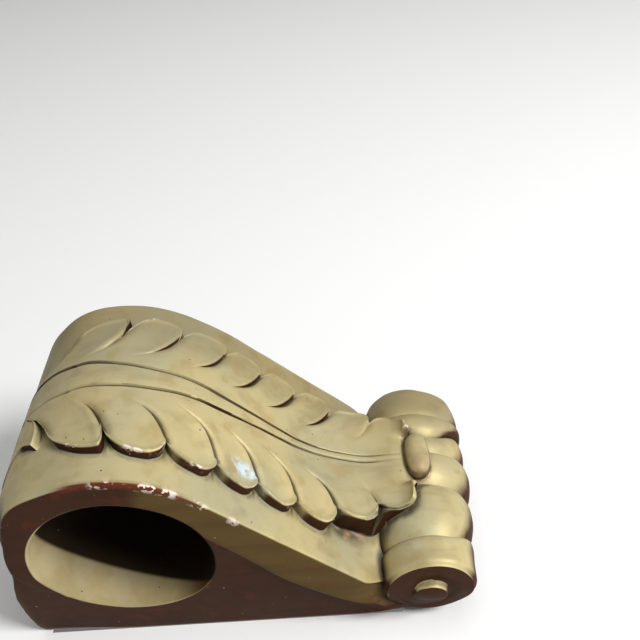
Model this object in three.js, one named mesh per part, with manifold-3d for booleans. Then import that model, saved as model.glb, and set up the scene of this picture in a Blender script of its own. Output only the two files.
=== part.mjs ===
// Carved S-scroll corbel with a through bore for a curtain pole, cast in one piece.
// Millimetres, +Z up as fixed to a wall, the wall at Y = 0 and the corbel standing out to -Y.
// The side outline is worked out with x down from the head, y across and z out from the wall, then turned.
import * as THREE from 'three';
import { mergeVertices } from 'three/addons/utils/BufferGeometryUtils.js';
import Module from 'manifold-3d';

// Driving sizes
const WIDTH = 92;
const BORE_R = 32;
const BORE_FAR_R = 27.5;
const BORE_SEAM = 0.45;
const BORE_STEP = 0.8;
const HEAD_X = 45.8;
const HEAD_Z = 51.2;
const HEAD_R = 43.8;
const TANGENT_ANGLE = THREE.MathUtils.degToRad(46);
const HEAD_START = THREE.MathUtils.degToRad(220);
const TAPER_START = THREE.MathUtils.degToRad(184);
const BAND_LENGTH = 92;
const BAND_DEPTH = 15.5;
const ROLL_X = 154.6;
const ROLL_Z = 21.6;
const ROLL_VALLEY = 17.4;
const ROLL_EDGE = 15.8;
const BACK_LENGTH = 149;
const WEB_RECESS = 5.8;
const WEB_FLUSH_Z = 62;
const LEAF_HEIGHT = 2.8;
const NOTCH_V = 0.58;
const LOBE_V = 0.76;
const RIB_HALF = 0.13;
const CURL_R = 5.4;
const CURL_HALF = 13.5;
const EYE_R = 6.2;
const EYE_PROUD = 2.2;

// Along the band, in bore radii, where one lobe of the leaf ends and the next begins
const NOTCHES = [1.22, 2.14, 2.79, 3.35, 3.88, 4.45, 5.02, 5.62].map((n) => n * BORE_R);
const STEPS = [0, 0.07, 0.22, 0.42, 0.62, 0.78, 0.9, 0.97];

// Rings of the roll from the near end: where each ends across the width, and its fullest radius
const RINGS = [[0.147, 18.0], [0.41, 20.2], [0.574, 20.8], [0.676, 20.2], [0.827, 20.1], [1, 18.4]];

const { sin, cos, sqrt, max, min, PI } = Math;
const wasm = await Module();
wasm.setup();

/** Eases from 0 to 1 between two values. */
function ease(from, to, value) {
  return THREE.MathUtils.smoothstep(value, from, to);
}

/** Turns a geometry into a solid that can be joined and cut. */
function solidOf(geometry) {
  const bare = geometry.clone();
  bare.deleteAttribute('normal');
  bare.deleteAttribute('uv');
  const welded = mergeVertices(bare, 1e-4);
  return new wasm.Manifold(new wasm.Mesh({
    numProp: 3,
    vertProperties: new Float32Array(welded.attributes.position.array),
    triVerts: new Uint32Array(welded.index.array),
  }));
}

/** Point and outward normal of the band's outer face, u mm along it; u is 0 at the head's wall-side quadrant. */
function outerFace(u) {
  const arc = HEAD_R * (PI - TANGENT_ANGLE);
  if (u <= arc) {
    const angle = PI - u / HEAD_R;
    const taper = ease(TAPER_START, HEAD_START, angle);
    const radius = HEAD_R - (HEAD_R - BORE_R + 1.5) * taper;
    return { x: HEAD_X + radius * cos(angle), z: HEAD_Z + radius * sin(angle), nx: cos(angle), nz: sin(angle) };
  }
  const on = u - arc;
  const nx = cos(TANGENT_ANGLE);
  const nz = sin(TANGENT_ANGLE);
  return { x: HEAD_X + HEAD_R * nx + on * nz, z: HEAD_Z + HEAD_R * nz - on * nx, nx, nz };
}

/** Depth of the band below its outer face. */
function bandDepth(u) {
  const arc = HEAD_R * (PI - TANGENT_ANGLE);
  const head = HEAD_R - BORE_FAR_R + 1;
  const full = head + (BAND_DEPTH - head) * ease(arc - 20, arc + 15, u);
  const taper = ease(TAPER_START, HEAD_START, PI - u / HEAD_R);
  return (full - 8 * ease(arc + 30, arc + BAND_LENGTH, u)) * (1 - 0.85 * taper);
}

/** Half width of the leaf at u, as a fraction of the half width: rounded lobes with notches between. */
function leafEdge(u) {
  const first = NOTCHES[0];
  if (u <= first) {
    return NOTCH_V + 0.1 * ease(first - 30, first, u);
  }
  const i = NOTCHES.findIndex((n) => u < n);
  if (i < 0) {
    return NOTCH_V;
  }
  const t = (u - NOTCHES[i - 1]) / (NOTCHES[i] - NOTCHES[i - 1]);
  const swell = t < 0.65 ? 1 - (1 - t / 0.65) ** 2 : sqrt(max(0, 1 - ((t - 0.65) / 0.35) ** 2));
  return NOTCH_V + (LOBE_V - NOTCH_V) * swell;
}

/** Height of the leaf over the band at u and at a fraction f of the way from the rib to the leaf's edge. */
function leafHeight(u, f) {
  const grows = ease(6, 26, u);
  const rib = f < RIB_HALF ? 0.5 : 0;
  const dish = -1.3 * sin(PI * min(1, max(0, (f - 0.25) / 0.7)));
  return grows * (LEAF_HEIGHT + rib + dish + 0.8 * f);
}

/** Closed skin round a list of equal, closed sections, with faces out. */
function loft(sections) {
  const n = sections[0].length;
  const last = (sections.length - 1) * n;
  const index = [];
  for (let i = 0; i + 1 < sections.length; i += 1) {
    for (let j = 0; j < n; j += 1) {
      const a = i * n + j;
      const b = i * n + ((j + 1) % n);
      index.push(a, b, a + n, b, b + n, a + n);
    }
  }
  for (let j = 0; j + 2 < n; j += 1) {
    const [b, c] = [(n - 2 + n - j) % n, (n - 3 + n - j) % n];
    index.push(n - 1, b, c, last + n - 1, last + c, last + b);
  }
  const position = sections.flat(2);
  const at = (i) => new THREE.Vector3(...position.slice(3 * i, 3 * i + 3));
  let volume = 0;
  for (let i = 0; i < index.length; i += 3) {
    volume += at(index[i]).dot(at(index[i + 1]).cross(at(index[i + 2])));
  }
  const geometry = new THREE.BufferGeometry();
  geometry.setAttribute('position', new THREE.Float32BufferAttribute(position, 3));
  geometry.setIndex(volume > 0 ? index : index.reverse());
  return solidOf(geometry);
}

/** The proud S band with the leaf on its outer face. */
function bandAndLeaf() {
  const arc = HEAD_R * (PI - TANGENT_ANGLE);
  const stations = [];
  for (let i = 0; i <= 14; i += 1) {
    stations.push((PI - HEAD_START) * HEAD_R + (NOTCHES[0] - (PI - HEAD_START) * HEAD_R) * (i / 15));
  }
  for (let i = 0; i + 1 < NOTCHES.length; i += 1) {
    for (const t of STEPS) {
      stations.push(NOTCHES[i] + (NOTCHES[i + 1] - NOTCHES[i]) * t);
    }
  }
  stations.push(NOTCHES.at(-1), arc + BAND_LENGTH);
  const fractions = [0.08, RIB_HALF, RIB_HALF + 0.04, 0.36, 0.6, 0.84, 1];
  const sections = stations.map((u) => {
    const face = outerFace(u);
    const edge = leafEdge(u);
    const across = [[1, 0], [min(0.97, edge + 0.02), 0]];
    for (const f of [...fractions].reverse()) {
      across.push([f * edge, max(0.01, leafHeight(u, f))]);
    }
    const half = across.map(([v, h]) => [(WIDTH / 2) * (1 - v), h]);
    const rest = [...half].reverse().map(([y, h]) => [WIDTH - y, h]);
    const depth = bandDepth(u);
    const ring = [...half, ...rest, [WIDTH, -depth], [0, -depth]];
    return ring.map(([y, h]) => [face.x + face.nx * h, y, face.z + face.nz * h]);
  });
  return loft(sections);
}

/** A side outline carried across the width. */
function slab(points, from, to) {
  const shape = new THREE.Shape(points.map(([x, z]) => new THREE.Vector2(x, z)));
  const geometry = new THREE.ExtrudeGeometry(shape, { depth: to - from, bevelEnabled: false });
  geometry.rotateX(PI / 2);
  geometry.translate(0, to, 0);
  return solidOf(geometry);
}

/** The web between the band and the wall: its side faces fall back towards the wall. */
function web() {
  const outline = [[0, 0], [BACK_LENGTH, 0], [ROLL_X - 6, 4], [ROLL_X - 4, ROLL_Z]];
  const arc = HEAD_R * (PI - TANGENT_ANGLE);
  for (let u = arc + BAND_LENGTH - 8; u > 0; u -= 6) {
    const face = outerFace(u);
    outline.push([face.x - face.nx, face.z - face.nz]);
  }
  outline.push([2, HEAD_Z], [1.4, 30]);
  const across = [];
  for (let i = 0; i <= 8; i += 1) {
    const z = (WEB_FLUSH_Z * i) / 8;
    across.push([0.6 + WEB_RECESS * (1 - z / WEB_FLUSH_Z) ** 2, z]);
  }
  across.push([0.6, 2 * HEAD_Z]);
  const section = new THREE.Shape([
    ...across.map(([y, z]) => new THREE.Vector2(y, z)),
    ...[...across].reverse().map(([y, z]) => new THREE.Vector2(WIDTH - y, z)),
  ].reverse());
  const prism = new THREE.ExtrudeGeometry(section, { depth: 2 * ROLL_X, bevelEnabled: false });
  prism.applyMatrix4(new THREE.Matrix4().makeBasis(
    new THREE.Vector3(0, 1, 0), new THREE.Vector3(0, 0, 1), new THREE.Vector3(1, 0, 0)));
  prism.translate(-40, 0, 0);
  return slab(outline, 0, WIDTH).intersect(solidOf(prism));
}

/** A profile of [radius, y] turned about an axis across the width at x, z. */
function turned(profile, x, z, segments) {
  const geometry = new THREE.LatheGeometry(profile.map(([r, y]) => new THREE.Vector2(r, y)), segments);
  geometry.translate(x, 0, z);
  return solidOf(geometry);
}

/** The roll at the foot: plain drums at the ends and rounded rings between. */
function roll() {
  const profile = [[0, 0], [ROLL_EDGE, 0]];
  let from = 0;
  RINGS.forEach(([to, full], i) => {
    const first = i === 0;
    const last = i === RINGS.length - 1;
    for (const t of [0.06, 0.3, 0.7, 0.94]) {
      const swell = first || last ? full : ROLL_VALLEY + (full - ROLL_VALLEY) * sin(PI * t) ** 0.6;
      profile.push([swell, (from + (to - from) * t) * WIDTH]);
    }
    if (!last) {
      profile.push([ROLL_VALLEY, to * WIDTH]);
    }
    from = to;
  });
  profile.push([ROLL_EDGE, WIDTH], [0, WIDTH]);
  return turned(profile, ROLL_X, ROLL_Z, 40);
}

/** A snail step and a proud eye on each end of the roll. */
function eyes() {
  const outline = [];
  for (let i = 0; i <= 28; i += 1) {
    const t = i / 28;
    const radius = ROLL_EDGE - 1.5 - (ROLL_EDGE - 1.5 - EYE_R) * t;
    const angle = 0.75 * PI + 2 * PI * t * 0.98;
    outline.push([ROLL_X + radius * cos(angle), ROLL_Z + radius * sin(angle)]);
  }
  const snail = slab(outline, -0.9, WIDTH + 0.9);
  const dome = [[0, -EYE_PROUD], [EYE_R * 0.6, -EYE_PROUD], [EYE_R * 0.95, -0.9], [EYE_R, 2]];
  const facing = dome.map(([r, y]) => [r, WIDTH - y]).reverse();
  return snail.add(turned([...dome, ...facing], ROLL_X, ROLL_Z, 24));
}

/** The leaf's end: a ladle that lifts off the band and curls over the roll. */
function ladle() {
  const spine = new THREE.CatmullRomCurve3([[104, 50], [116, 41.5], [127, 36.5], [137, 36], [145, 40], [151, 46.5]]
    .map(([x, z]) => new THREE.Vector3(x, 0, z)));
  const sections = Array.from({ length: 12 }, (_, i) => {
    const t = i / 11;
    const half = 0.3 + 0.42 * sqrt(max(0, 1 - t ** 2.2)) - 0.12 * (1 - t) ** 3;
    const point = spine.getPoint(t);
    const run = spine.getTangent(t);
    const across = [-1, -0.7, -0.35, 0, 0.35, 0.7, 1].map((f) => [f, 3.2 * f * f + 1.4]);
    const under = [1, 0.5, -0.5, -1].map((f) => [f * 0.97, 3.2 * f * f - 3.4]);
    return [...across, ...under].map(([f, h]) => [
      point.x - run.z * h, (WIDTH / 2) * (1 + f * half), point.z + run.x * h]);
  });
  return loft(sections);
}

/** The core under the ladle, narrower than the leaf. */
function ladleCore() {
  const outline = [[100, 30], [150, 20], [150, 42], [144, 37], [136, 33.5], [126, 34.5], [115, 40], [103, 50]];
  return slab(outline, WIDTH * 0.26, WIDTH * 0.74);
}

/** The rolled tip of the leaf. */
function curl() {
  const profile = [];
  for (let i = 0; i <= 12; i += 1) {
    const angle = (PI * i) / 12;
    const y = WIDTH / 2 - cos(angle) * CURL_HALF;
    profile.push([i === 0 || i === 12 ? 0 : CURL_R * sin(angle) ** 0.5, y]);
  }
  return turned(profile, 151.5, 44.6, 16);
}

/** The pole bore: drawn in from both mouths to a small step. */
function bore() {
  const seam = BORE_SEAM * WIDTH;
  const slope = (BORE_R - BORE_FAR_R - BORE_STEP) / WIDTH;
  return turned([
    [0, -5], [BORE_R + 5 * slope, -5], [BORE_R - seam * slope, seam],
    [BORE_R - seam * slope - BORE_STEP, seam + 1], [BORE_FAR_R - 5 * slope, WIDTH + 5], [0, WIDTH + 5],
  ], HEAD_X, HEAD_Z, 64);
}

const whole = web().add(bandAndLeaf()).add(roll()).add(eyes())
  .add(ladle()).add(ladleCore()).add(curl()).subtract(bore());
const mesh = whole.getMesh();
const geometry = new THREE.BufferGeometry();
geometry.setAttribute('position', new THREE.Float32BufferAttribute(mesh.vertProperties, 3));
geometry.setIndex(Array.from(mesh.triVerts));
geometry.applyMatrix4(new THREE.Matrix4().set(
  0, 1, 0, -WIDTH / 2,
  0, 0, -1, 0,
  -1, 0, 0, BACK_LENGTH / 2,
  0, 0, 0, 1));
geometry.computeVertexNormals();

const corbel = new THREE.Mesh(geometry, new THREE.MeshStandardMaterial({
  color: 0x9c8a5c, metalness: 0.45, roughness: 0.5,
}));
corbel.name = 'corbel';
const part = new THREE.Group();
part.add(corbel);
export default part;
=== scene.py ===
"""Carved S-scroll corbel in worn gold paint, with an acanthus leaf, a ringed roll and a pole bore.

The fixed frame gives the corbel's place and size. The corbel is worked lying on its back, in
millimetres: x down from the head, y across and z out from the wall, and then placed in the frame.
"""

import logging
import math
import random
from bisect import bisect_right
from dataclasses import dataclass, field
from enum import Enum

import bmesh
import bpy
from mathutils import Matrix, Vector, noise
from mathutils.bvhtree import BVHTree

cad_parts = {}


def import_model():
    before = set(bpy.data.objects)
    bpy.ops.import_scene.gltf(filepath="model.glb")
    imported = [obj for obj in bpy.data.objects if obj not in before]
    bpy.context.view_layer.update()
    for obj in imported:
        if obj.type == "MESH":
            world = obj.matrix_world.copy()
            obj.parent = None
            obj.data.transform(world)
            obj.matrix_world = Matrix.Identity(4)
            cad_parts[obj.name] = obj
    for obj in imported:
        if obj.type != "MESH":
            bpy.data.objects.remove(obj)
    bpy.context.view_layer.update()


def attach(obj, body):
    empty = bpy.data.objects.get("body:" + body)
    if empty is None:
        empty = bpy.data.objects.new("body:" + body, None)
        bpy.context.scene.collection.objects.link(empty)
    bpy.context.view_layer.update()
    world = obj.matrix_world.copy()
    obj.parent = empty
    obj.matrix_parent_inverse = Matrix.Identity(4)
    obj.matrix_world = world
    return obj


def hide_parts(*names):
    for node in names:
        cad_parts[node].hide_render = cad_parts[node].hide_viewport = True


log = logging.getLogger("corbel")

MM = 0.001

Triple = tuple[float, float, float]
Socket = bpy.types.NodeSocket


def ease(start: float, end: float, value: float) -> float:
    """Ease from 0 at start to 1 at end."""
    t = min(1.0, max(0.0, (value - start) / (end - start)))
    return t * t * (3.0 - 2.0 * t)


def bump(centre: float, reach: float, value: float) -> float:
    """A soft bump of height 1 round centre, gone at reach."""
    return ease(reach, 0.0, abs(value - centre)) if reach else 0.0


class Track:
    """A smooth curve through knots, each a parameter and its values."""

    def __init__(self, knots: tuple[tuple[float, ...], ...]) -> None:
        """Keep the knots and work out their slopes.

        Args:
            knots: Rows of a rising parameter followed by one or more values.
        """
        self.at = [row[0] for row in knots]
        self.values = [row[1:] for row in knots]
        self.slopes = [self._slope(i) for i in range(len(knots))]

    def _slope(self, i: int) -> tuple[float, ...]:
        """Work out the slope at a knot, flat where the values turn.

        Args:
            i: The knot.

        Returns:
            The slope of each value.
        """
        last = len(self.at) - 1
        if i in (0, last):
            a, b = (0, 1) if i == 0 else (last - 1, last)
            span = self.at[b] - self.at[a]
            return tuple((q - p) / span for p, q in zip(self.values[a], self.values[b]))
        slopes = []
        for p, m, q in zip(self.values[i - 1], self.values[i], self.values[i + 1]):
            before = (m - p) / (self.at[i] - self.at[i - 1])
            after = (q - m) / (self.at[i + 1] - self.at[i])
            slopes.append(0.0 if before * after <= 0 else 2 * before * after / (before + after))
        return tuple(slopes)

    def __call__(self, t: float) -> tuple[float, ...]:
        """Read the curve.

        Args:
            t: The parameter, held at the first and last knots.

        Returns:
            The values there.
        """
        t = min(self.at[-1], max(self.at[0], t))
        i = min(len(self.at) - 2, bisect_right(self.at, t) - 1)
        span = self.at[i + 1] - self.at[i]
        s = (t - self.at[i]) / span
        h00 = (1 + 2 * s) * (1 - s) ** 2
        h10 = s * (1 - s) ** 2 * span
        h01 = s * s * (3 - 2 * s)
        h11 = s * s * (s - 1) * span
        rows = zip(self.values[i], self.slopes[i], self.values[i + 1], self.slopes[i + 1])
        return tuple(h00 * p + h10 * m + h01 * q + h11 * n for p, m, q, n in rows)


@dataclass(frozen=True)
class Outline:
    """The corbel's side view, in millimetres, lying on its back."""

    width: float = 92.0
    head_x: float = 45.8
    head_z: float = 51.2
    head_r: float = 43.8
    bore_r: float = 32.0
    tangent: float = math.radians(46)
    head_start: float = math.radians(220)
    taper_start: float = math.radians(184)
    thin: float = 1.5
    fullness: float = 2.3
    near_fall: float = 6.0
    far_lean: tuple[tuple[float, float], ...] = (
        (20, 0.0), (32, 0.2), (57, -1.2), (85, 0.6), (116, 3.1), (134, 0.9), (150, 0.3))
    far_draft: float = 2.3
    draw_in: float = 1.9
    end_draw: float = 3.6
    straight: float = 101.0
    back_length: float = 149.0

    @property
    def arc(self) -> float:
        """Length of the outer face round the head, up to where it runs straight."""
        return self.head_r * (math.pi - self.tangent)

    @property
    def start(self) -> float:
        """Where the band starts, on the head's underside."""
        return self.head_r * (math.pi - self.head_start)

    @property
    def end(self) -> float:
        """Where the band ends, inside the roll."""
        return self.arc + self.straight

    def taper(self, u: float) -> float:
        """How far the band has thinned towards its start, from 0 to 1."""
        return ease(self.taper_start, self.head_start, math.pi - u / self.head_r)

    def face(self, u: float, height: float) -> tuple[float, float]:
        """Point over the band's outer face.

        Args:
            u: Distance along the face from the head's quadrant at the wall side.
            height: Height over the face.

        Returns:
            x and z of the point.
        """
        if u <= self.arc:
            angle = math.pi - u / self.head_r
            radius = self.head_r - (self.head_r - self.bore_r - self.thin) * self.taper(u) + height
            return self.head_x + radius * math.cos(angle), self.head_z + radius * math.sin(angle)
        on = u - self.arc
        nx, nz = math.cos(self.tangent), math.sin(self.tangent)
        return (
            self.head_x + (self.head_r + height) * nx + on * nz,
            self.head_z + (self.head_r + height) * nz - on * nx,
        )

    def lean(self, u: float, v: float) -> float:
        """How far the head stands off its circle: full at the back, with a soft near shoulder.

        Args:
            u: Distance along the face.
            v: Place across, -1 at the near side and 1 at the far side.

        Returns:
            Height over the circle.
        """
        angle = math.degrees(math.pi - u / self.head_r)
        full = self.fullness * ease(112, 140, angle)
        shoulder = self.near_fall * ease(122, 166, angle) * ease(-0.68, -1.0, v)
        far = Track(self.far_lean)(angle)[0] * ease(0.1, 1.0, v)
        return (full - shoulder) * (1 - self.taper(u)) + far

    def unfold(self, x: float, z: float) -> tuple[float, float]:
        """Place a point of the side view by the face.

        Args:
            x: The point's distance down from the head.
            z: Its distance out from the wall.

        Returns:
            The distance along the face and the height over it.
        """
        nx, nz = math.cos(self.tangent), math.sin(self.tangent)
        dx, dz = x - self.head_x, z - self.head_z
        if dx * nz - dz * nx > 0:
            return self.arc + dx * nz - dz * nx, dx * nx + dz * nz - self.head_r
        angle = math.atan2(dz, dx)
        angle += 2 * math.pi if angle < -math.pi / 2 else 0.0
        return self.head_r * (math.pi - angle), math.hypot(dx, dz) - self.head_r

    def lying(self, point: Vector) -> tuple[float, float, float]:
        """The lying x, y and z, in millimetres, of a point in the frame."""
        return self.back_length / 2 - point.z / MM, point.x / MM + self.width / 2, -point.y / MM

    def across(self, v: float) -> float:
        """Place across the width, v being -1 at the near side and 1 at the far side, which draws in."""
        return self.width / 2 * (1 + v) - self.far_draft * max(0.0, v)

    def placed(self, x: float, y: float, z: float) -> Vector:
        """A lying point in the frame, in metres."""
        return Vector(((y - self.width / 2) * MM, -z * MM, (self.back_length / 2 - x) * MM))


def linked(name: str, data: bpy.types.ID) -> bpy.types.Object:
    """Make an object of its data and link it to the scene.

    Args:
        name: The object's name.
        data: Its mesh, lamp or camera data.

    Returns:
        The new object.
    """
    made = bpy.data.objects.new(name, data)
    bpy.context.scene.collection.objects.link(made)
    return made


def kept(bm: bmesh.types.BMesh, name: str) -> bpy.types.Object:
    """Keep a bmesh as an object of the scene.

    Args:
        bm: The mesh to keep, freed here.
        name: The object's name.

    Returns:
        The new object.
    """
    mesh = bpy.data.meshes.new(name)
    bm.to_mesh(mesh)
    bm.free()
    return linked(name, mesh)


def finished(bm: bmesh.types.BMesh, name: str) -> bpy.types.Object:
    """Close, turn outwards and keep a bmesh as an object.

    Args:
        bm: The mesh to keep, freed here.
        name: The object's name.

    Returns:
        The new object, linked to the scene.
    """
    bmesh.ops.remove_doubles(bm, verts=bm.verts, dist=2e-6)
    bmesh.ops.dissolve_degenerate(bm, edges=bm.edges, dist=1e-6)
    open_edges = [e for e in bm.edges if e.is_boundary]
    if open_edges:
        bmesh.ops.holes_fill(bm, edges=open_edges, sides=0)
    bmesh.ops.triangulate(bm, faces=[f for f in bm.faces if len(f.verts) > 4])
    bmesh.ops.recalc_face_normals(bm, faces=bm.faces)
    return kept(bm, name)


def spun(points: list[tuple[float, float]], steps: int) -> bmesh.types.BMesh:
    """Spin a profile a full turn round the Y axis.

    Args:
        points: Radius and Y of the profile's points.
        steps: How many steps the turn has.

    Returns:
        The spun mesh.
    """
    bm = bmesh.new()
    path = [bm.verts.new((radius, y, 0.0)) for radius, y in points]
    edges = [bm.edges.new((a, b)) for a, b in zip(path, path[1:])]
    bmesh.ops.spin(
        bm, geom=path + edges, cent=(0, 0, 0), axis=(0, 1, 0), angle=2 * math.pi, steps=steps, use_merge=True)
    return bm


def cut_across(bm: bmesh.types.BMesh, place: float, way: Triple) -> None:
    """Cut a mesh's faces along the plane at a place on an axis."""
    cut = bm.verts[:] + bm.edges[:] + bm.faces[:]
    bmesh.ops.bisect_plane(bm, geom=cut, plane_co=Vector(way) * place, plane_no=way)


class Zone(Enum):
    """The parts of the band's section, from the outer arris to the rib and down the side."""

    ARRIS = "arris"
    FACE = "face"
    WALL = "wall"
    LEAF = "leaf"
    GROOVE = "groove"
    RIB = "rib"


@dataclass
class LeafBand:
    """The proud S band and the acanthus leaf on its outer face."""

    outline: Outline
    arris: float = 1.0
    crease_v: float = 0.2
    crease_reach: float = 0.4
    crease_fade: float = 7.0
    crease_round: float = 0.035
    notches: tuple[float, ...] = (2.0, 49.8, 69.8, 88.9, 107.0, 124.6, 142.4, 160.6, 178.0, 192.0)
    notch_v: tuple[float, ...] = (0.50, 0.26, 0.52, 0.58, 0.58, 0.56, 0.55, 0.50, 0.48, 0.40)
    notch_cut: tuple[float, ...] = (0.0, 0.8, 1.0, 1.0, 1.0, 1.0, 1.0, 1.0, 0.5, 0.0)
    lobe_v: tuple[float, ...] = (0.56, 0.72, 0.75, 0.75, 0.73, 0.71, 0.71, 0.61, 0.54)
    valley_depth: float = 3.0
    far_softness: float = 0.62
    lip_rise: float = 0.55
    lip_inset: float = 0.016
    lip_reach: float = 0.034
    round_from: float = 160.0
    rim: float = 192.5
    under_curl: float = 206.0
    end: float = 232.0
    side_steps: int = 8

    def __post_init__(self) -> None:
        """Set out the curves that the leaf is carved by."""
        self.swell = Track((
            (0, 0), (0.03, 0.42), (0.2, 0.85), (0.4, 0.98), (0.6, 1.0), (0.8, 0.83), (0.91, 0.58),
            (0.97, 0.28), (1, 0)))
        self.first_swell = Track((
            (0, 0), (0.02, 0.32), (0.08, 0.58), (0.22, 0.75), (0.6, 0.96), (0.86, 1.0), (0.94, 0.75), (1, 0)))
        self.plain_swell = Track(((0, 0), (0.3, 0.8), (0.78, 0.7), (0.88, 0.9), (0.94, 0.62), (1, 0)))
        self.last_swell = Track((
            (0, 0), (0.2, 0.75), (0.45, 1.0), (0.7, 0.98), (0.88, 0.8), (0.96, 0.45), (1, 0)))
        self.fold = Track((
            (0, -1.0), (0.04, -0.62), (0.1, 0.0), (0.19, 0.36), (0.34, 0.2), (0.55, -0.02), (0.76, 0.16),
            (0.9, 0.52), (0.96, 0.3), (1, -1.0)))
        self.spine = Track((
            (-12.0, -12.0, 0.0), (10.0, 10.0, 0.3), (30.0, 30.0, 0.6), (38.0, 38.0, 1.4), (46.0, 46.0, 2.3),
            (60.0, 60.0, 2.9), (140.0, 140.0, 2.9), (150.0, 149.9, 3.7), (158.2, 157.8, 5.4),
            (165.7, 164.8, 8.1), (171.4, 169.8, 10.8), (177.2, 174.2, 14.6), (182.1, 177.3, 18.4),
            (186.3, 179.3, 22.1), (189.6, 179.9, 25.2), (191.6, 179.6, 27.2), (193.0, 180.4, 28.3),
            (194.6, 181.9, 28.0), (198.0, 184.6, 25.6), (204.0, 187.6, 20.3), (212.0, 190.5, 12.0),
            (222.0, 192.0, 2.0), (232.0, 192.0, -8.0),
        ))
        self.tip = Track((
            (177.2, 174.2, 14.6), (182.1, 177.3, 18.2), (186.3, 179.4, 21.2), (189.6, 181.4, 23.0),
            (193.0, 184.0, 23.6), (198.0, 187.0, 22.6), (204.0, 189.0, 19.0), (212.0, 190.5, 12.0),
            (222.0, 192.0, 2.0), (232.0, 192.0, -8.0),
        ))
        self.sway = Track((
            (10, 0.13), (40, 0.13), (55, 0.10), (71, 0.01), (84, -0.035), (98, -0.04), (120, 0.0),
            (142, 0.035), (160, 0.05), (175, 0.03), (190, 0.02)))
        self.crown = Track((
            (40, 0.0), (70, 0.4), (97, 0.8), (120, -0.2), (148, -1.5), (165, -1.0), (182, 0.0)))
        self.feet = Track((
            (160, 160, 0.0, 0.60), (172, 172, 0.2, 0.575), (176, 177, 1.2, 0.585), (178, 180, 2.7, 0.59),
            (182, 184, 9.0, 0.54), (186, 186, 16.0, 0.48), (190, 187.5, 20.5, 0.40), (196, 190, 21.0, 0.34),
            (210, 196, 10.0, 0.40), (232, 204, 0.0, 0.50),
        ))
        self.depths = Track((
            (80, 17.3), (102, 15.4), (115, 15.0), (135, 16.0), (154, 17.4), (175, 15.2), (189, 12.0),
            (203.5, 8.2)))
        self.rib_half = Track((
            (0, 0.17), (62, 0.15), (92, 0.115), (114, 0.088), (137, 0.062), (160, 0.045), (184, 0.034),
            (240, 0.03)))

    def shear(self, n: float, v: float) -> float:
        """How far a row that follows the creases runs back from its notch.

        Args:
            n: The row.
            v: Place across, 0 at the rib and 1 at the side.

        Returns:
            The distance along the face.
        """
        off_rib = math.hypot(max(0.0, v - self.crease_v), self.crease_round)
        lean = -self.crease_fade * math.log(off_rib / self.crease_reach)
        return lean * ease(-8, 30, n) * ease(self.rim - 1, 168, n)

    def lobe(self, n: float) -> tuple[int, float]:
        """Which lobe a row is in, and how far along it from 0 to 1."""
        i = min(len(self.notches) - 2, max(0, bisect_right(self.notches, n) - 1))
        t = (n - self.notches[i]) / (self.notches[i + 1] - self.notches[i])
        return i, min(1.0, max(0.0, t))

    def edge(self, n: float) -> float:
        """Half width of the leaf.

        Args:
            n: The row.

        Returns:
            The leaf's edge, as a fraction of the band's half width.
        """
        i, t = self.lobe(n)
        if n > self.notches[-1]:
            return self.notch_v[-1] - 0.1 * ease(192, 201, n) + 0.22 * ease(206, 226, n)
        swells = {0: self.plain_swell, 1: self.first_swell, len(self.lobe_v) - 1: self.last_swell}
        base = self.notch_v[i] + (self.notch_v[i + 1] - self.notch_v[i]) * t
        return base + (self.lobe_v[i] - base) * swells.get(i, self.swell)(t)[0]

    def relief(self, n: float, v: float, edge: float, side: int = -1) -> float:
        """Height of the leaf's carving over its own sheet, softer on the far side.

        Args:
            n: The row.
            v: Place across, 0 at the rib and 1 at the side.
            edge: The leaf's half width at the row.
            side: -1 for the near half and 1 for the far half.

        Returns:
            The height.
        """
        i, t = self.lobe(n)
        carved = ease(24, 50, n) * ease(self.rim, self.rim - 10, n)
        spread = ease(0.21, 0.44, v) * carved
        cut = self.notch_cut[i] + (self.notch_cut[i + 1] - self.notch_cut[i]) * t
        height = 0.5 * self.valley_depth * spread * self.fold(t)[0] * cut
        height *= (1.0 if side < 0 else self.far_softness) * (1 + 0.5 * ease(95, 140, n))
        height += self.lip_rise * bump(edge - self.lip_inset, self.lip_reach, v) * carved
        height += 0.5 * math.sin(math.pi * min(1.0, v / 0.62)) * carved
        height += self.crown(n - self.shear(n, v))[0] * ease(0.5, 0.1, v)
        half = self.rib_half(n)[0]
        in_rib = ease(half + 0.02, half - 0.02, v)
        height += in_rib * (0.4 - 0.5 * (v / half) ** 2) * carved
        groove = max(0.0, 1 - abs(v - half) / self.groove_half(half))
        height -= (0.6 + 6.2 * half) * groove * ease(self.rim - 2, self.rim - 12, n)
        return height

    def groove_half(self, half: float) -> float:
        """Half width of the grooves beside the rib, where the rib's own is half."""
        return 0.011 + 0.012 * half / 0.15

    def sheet(self, n: float, v: float, height: float) -> tuple[float, float]:
        """Point of the leaf at row n, raised from its sheet.

        Args:
            n: The row, by where its crease meets the leaf's edge.
            v: Place across, 0 at the rib and 1 at the side.
            height: Height over the sheet.

        Returns:
            Place along the band and height over it.
        """
        w = n - self.shear(n, v)
        height *= ease(-12, 10, w)
        if w <= 60.0:
            return w, self.spine(w)[1] + height
        u, lift = self.path(w, v)
        du, dh = (b - a for a, b in zip(self.path(w - 0.4, v), self.path(w + 0.4, v)))
        long = math.hypot(du, dh) or 1.0
        return u - height * dh / long, lift + height * du / long

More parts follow.
